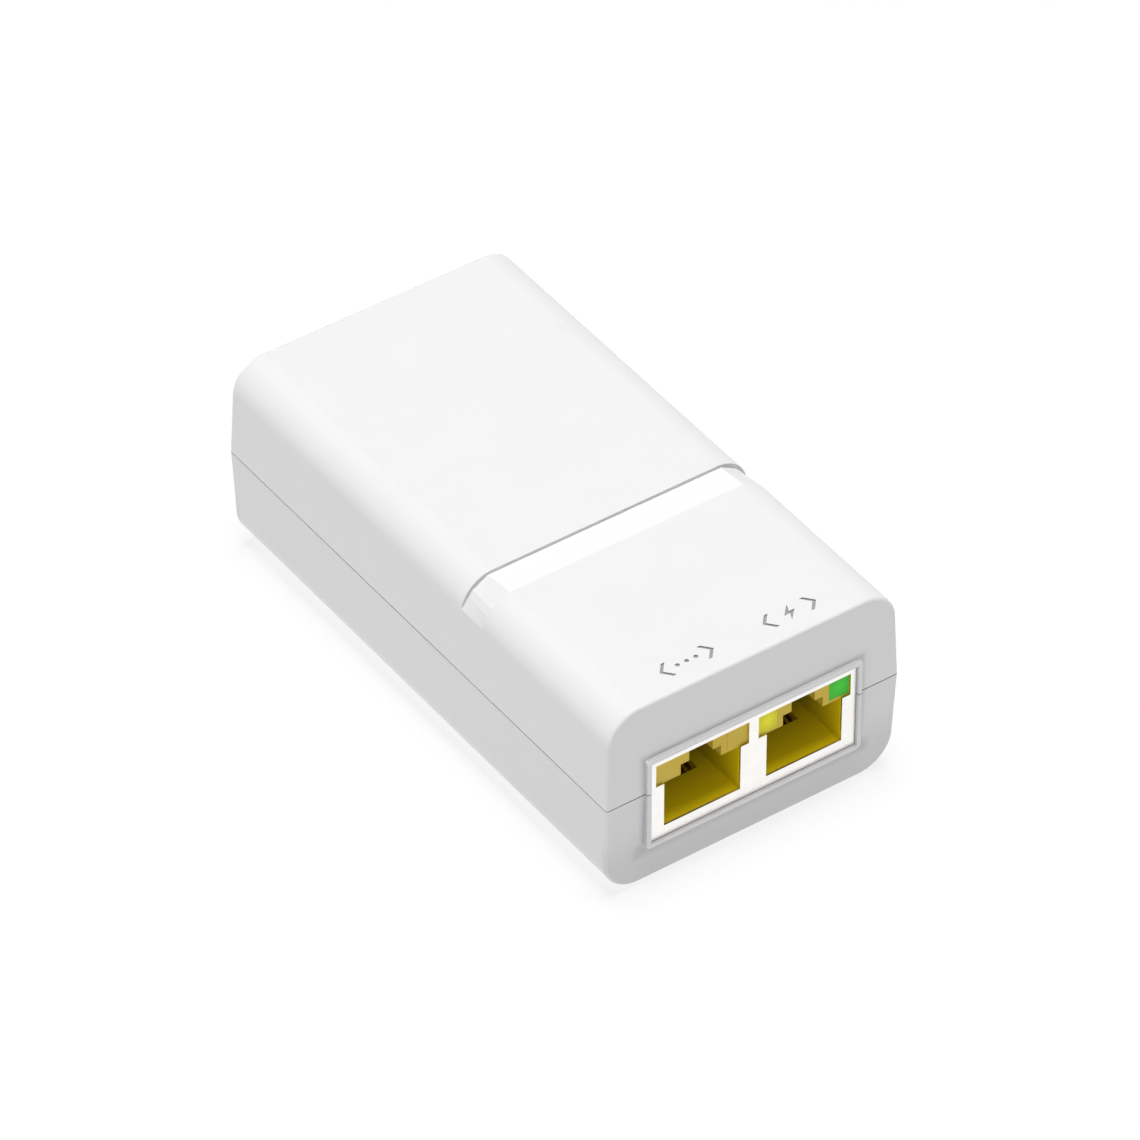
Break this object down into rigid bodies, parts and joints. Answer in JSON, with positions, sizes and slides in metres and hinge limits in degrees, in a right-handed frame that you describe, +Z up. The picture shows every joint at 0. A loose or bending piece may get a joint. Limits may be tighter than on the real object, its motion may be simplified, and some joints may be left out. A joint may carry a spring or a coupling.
{
  "type": "poe injector",
  "caption": "White two-shell PoE injector with a double network jack in front, a ramped step across the top and an earthed mains inlet at the rear.",
  "frame": {"origin": "under the middle of the case, on the surface that the rubber feet stand on", "axes": "+X to the right of someone facing the jacks, +Y from the jacks to the mains inlet, +Z up"},
  "size_m": [0.0454, 0.0864, 0.0302],
  "materials": {
    "case_white": "fine satin moulded ABS, white",
    "jack_face": "warm white coated shell, satin",
    "port_plastic": "mustard moulded thermoplastic",
    "lamp_block": "tan translucent moulding",
    "lamp_unlit": "tan lens, unlit",
    "lamp_yellow": "yellow lens, lit softly",
    "lamp_green": "green lens, lit softly",
    "gold_contact": "gold-plated phosphor bronze wire",
    "screw_steel": "zinc-plated steel",
    "foot_rubber": "black rubber",
    "label_foil": "blank satin polyester label",
    "inlet_black": "black glass-filled thermoplastic",
    "pin_brass": "nickel-plated brass",
    "board_green": "green solder mask on glass laminate",
    "film_clear": "thin insulating film",
    "block_yellow": "yellow potted box",
    "epoxy_black": "moulded black epoxy",
    "ferrite": "sintered dark grey ferrite",
    "heat_aluminium": "plain rolled aluminium",
    "can_black": "dark shrink sleeve",
    "fuse_brown": "ceramic body, plain caps",
    "disc_green": "dark green lacquered disc",
    "disc_blue": "blue lacquered disc",
    "copper_wire": "enamelled copper turns",
    "bobbin_black": "black phenolic",
    "tape_yellow": "yellow polyester tape"
  },
  "bodies": {
    "housing": {"top_cover": "case_white", "bottom_cover": "case_white", "case_screws": "screw_steel", "rubber_feet": "foot_rubber", "rating_label": "label_foil", "jack_shell": "jack_face", "lan_port_insert": "port_plastic", "poe_port_insert": "port_plastic", "lan_lamp_holders": "lamp_block", "poe_lamp_holders": "lamp_block", "lan_left_lamp": "lamp_unlit", "lan_right_lamp": "lamp_unlit", "poe_left_lamp": "lamp_yellow", "poe_right_lamp": "lamp_green", "lan_contact_tails": "gold_contact", "poe_contact_tails": "gold_contact", "mains_inlet": "inlet_black", "line_pin": "pin_brass", "neutral_pin": "pin_brass", "earth_pin": "pin_brass", "main_board": "board_green", "insulating_sheet": "film_clear", "board_screws": "screw_steel", "x_capacitor": "block_yellow", "bridge_rectifier": "epoxy_black", "transformer_core": "ferrite", "heatsink": "heat_aluminium", "switching_transistor": "epoxy_black", "optocoupler": "epoxy_black", "control_chip": "epoxy_black", "output_capacitor_left": "can_black", "output_capacitor_right": "can_black", "bulk_capacitor": "can_black", "output_diode": "epoxy_black", "fuse": "fuse_brown", "thermistor": "disc_green", "y_capacitor": "disc_blue", "choke_core": "ferrite", "choke_windings": "copper_wire", "transformer_bobbin": "bobbin_black", "transformer_winding": "tape_yellow", "lan_transformer": "epoxy_black"},
    "lan_contact_row": {"lan_contact_springs": "gold_contact"},
    "poe_contact_row": {"poe_contact_springs": "gold_contact"}
  },
  "joints": [
    {"name": "lan_contact_flex", "type": "hinge", "parent": "housing", "child": "lan_contact_row", "pos_m": [-0.00794, -0.0356, 0.00845], "axis": [-1, 0, 0], "range_deg": [0, 10], "stiffness_Nm_per_rad": 0.25},
    {"name": "poe_contact_flex", "type": "hinge", "parent": "housing", "child": "poe_contact_row", "pos_m": [0.00794, -0.0356, 0.00845], "axis": [-1, 0, 0], "range_deg": [0, 10], "stiffness_Nm_per_rad": 0.25}
  ]
}
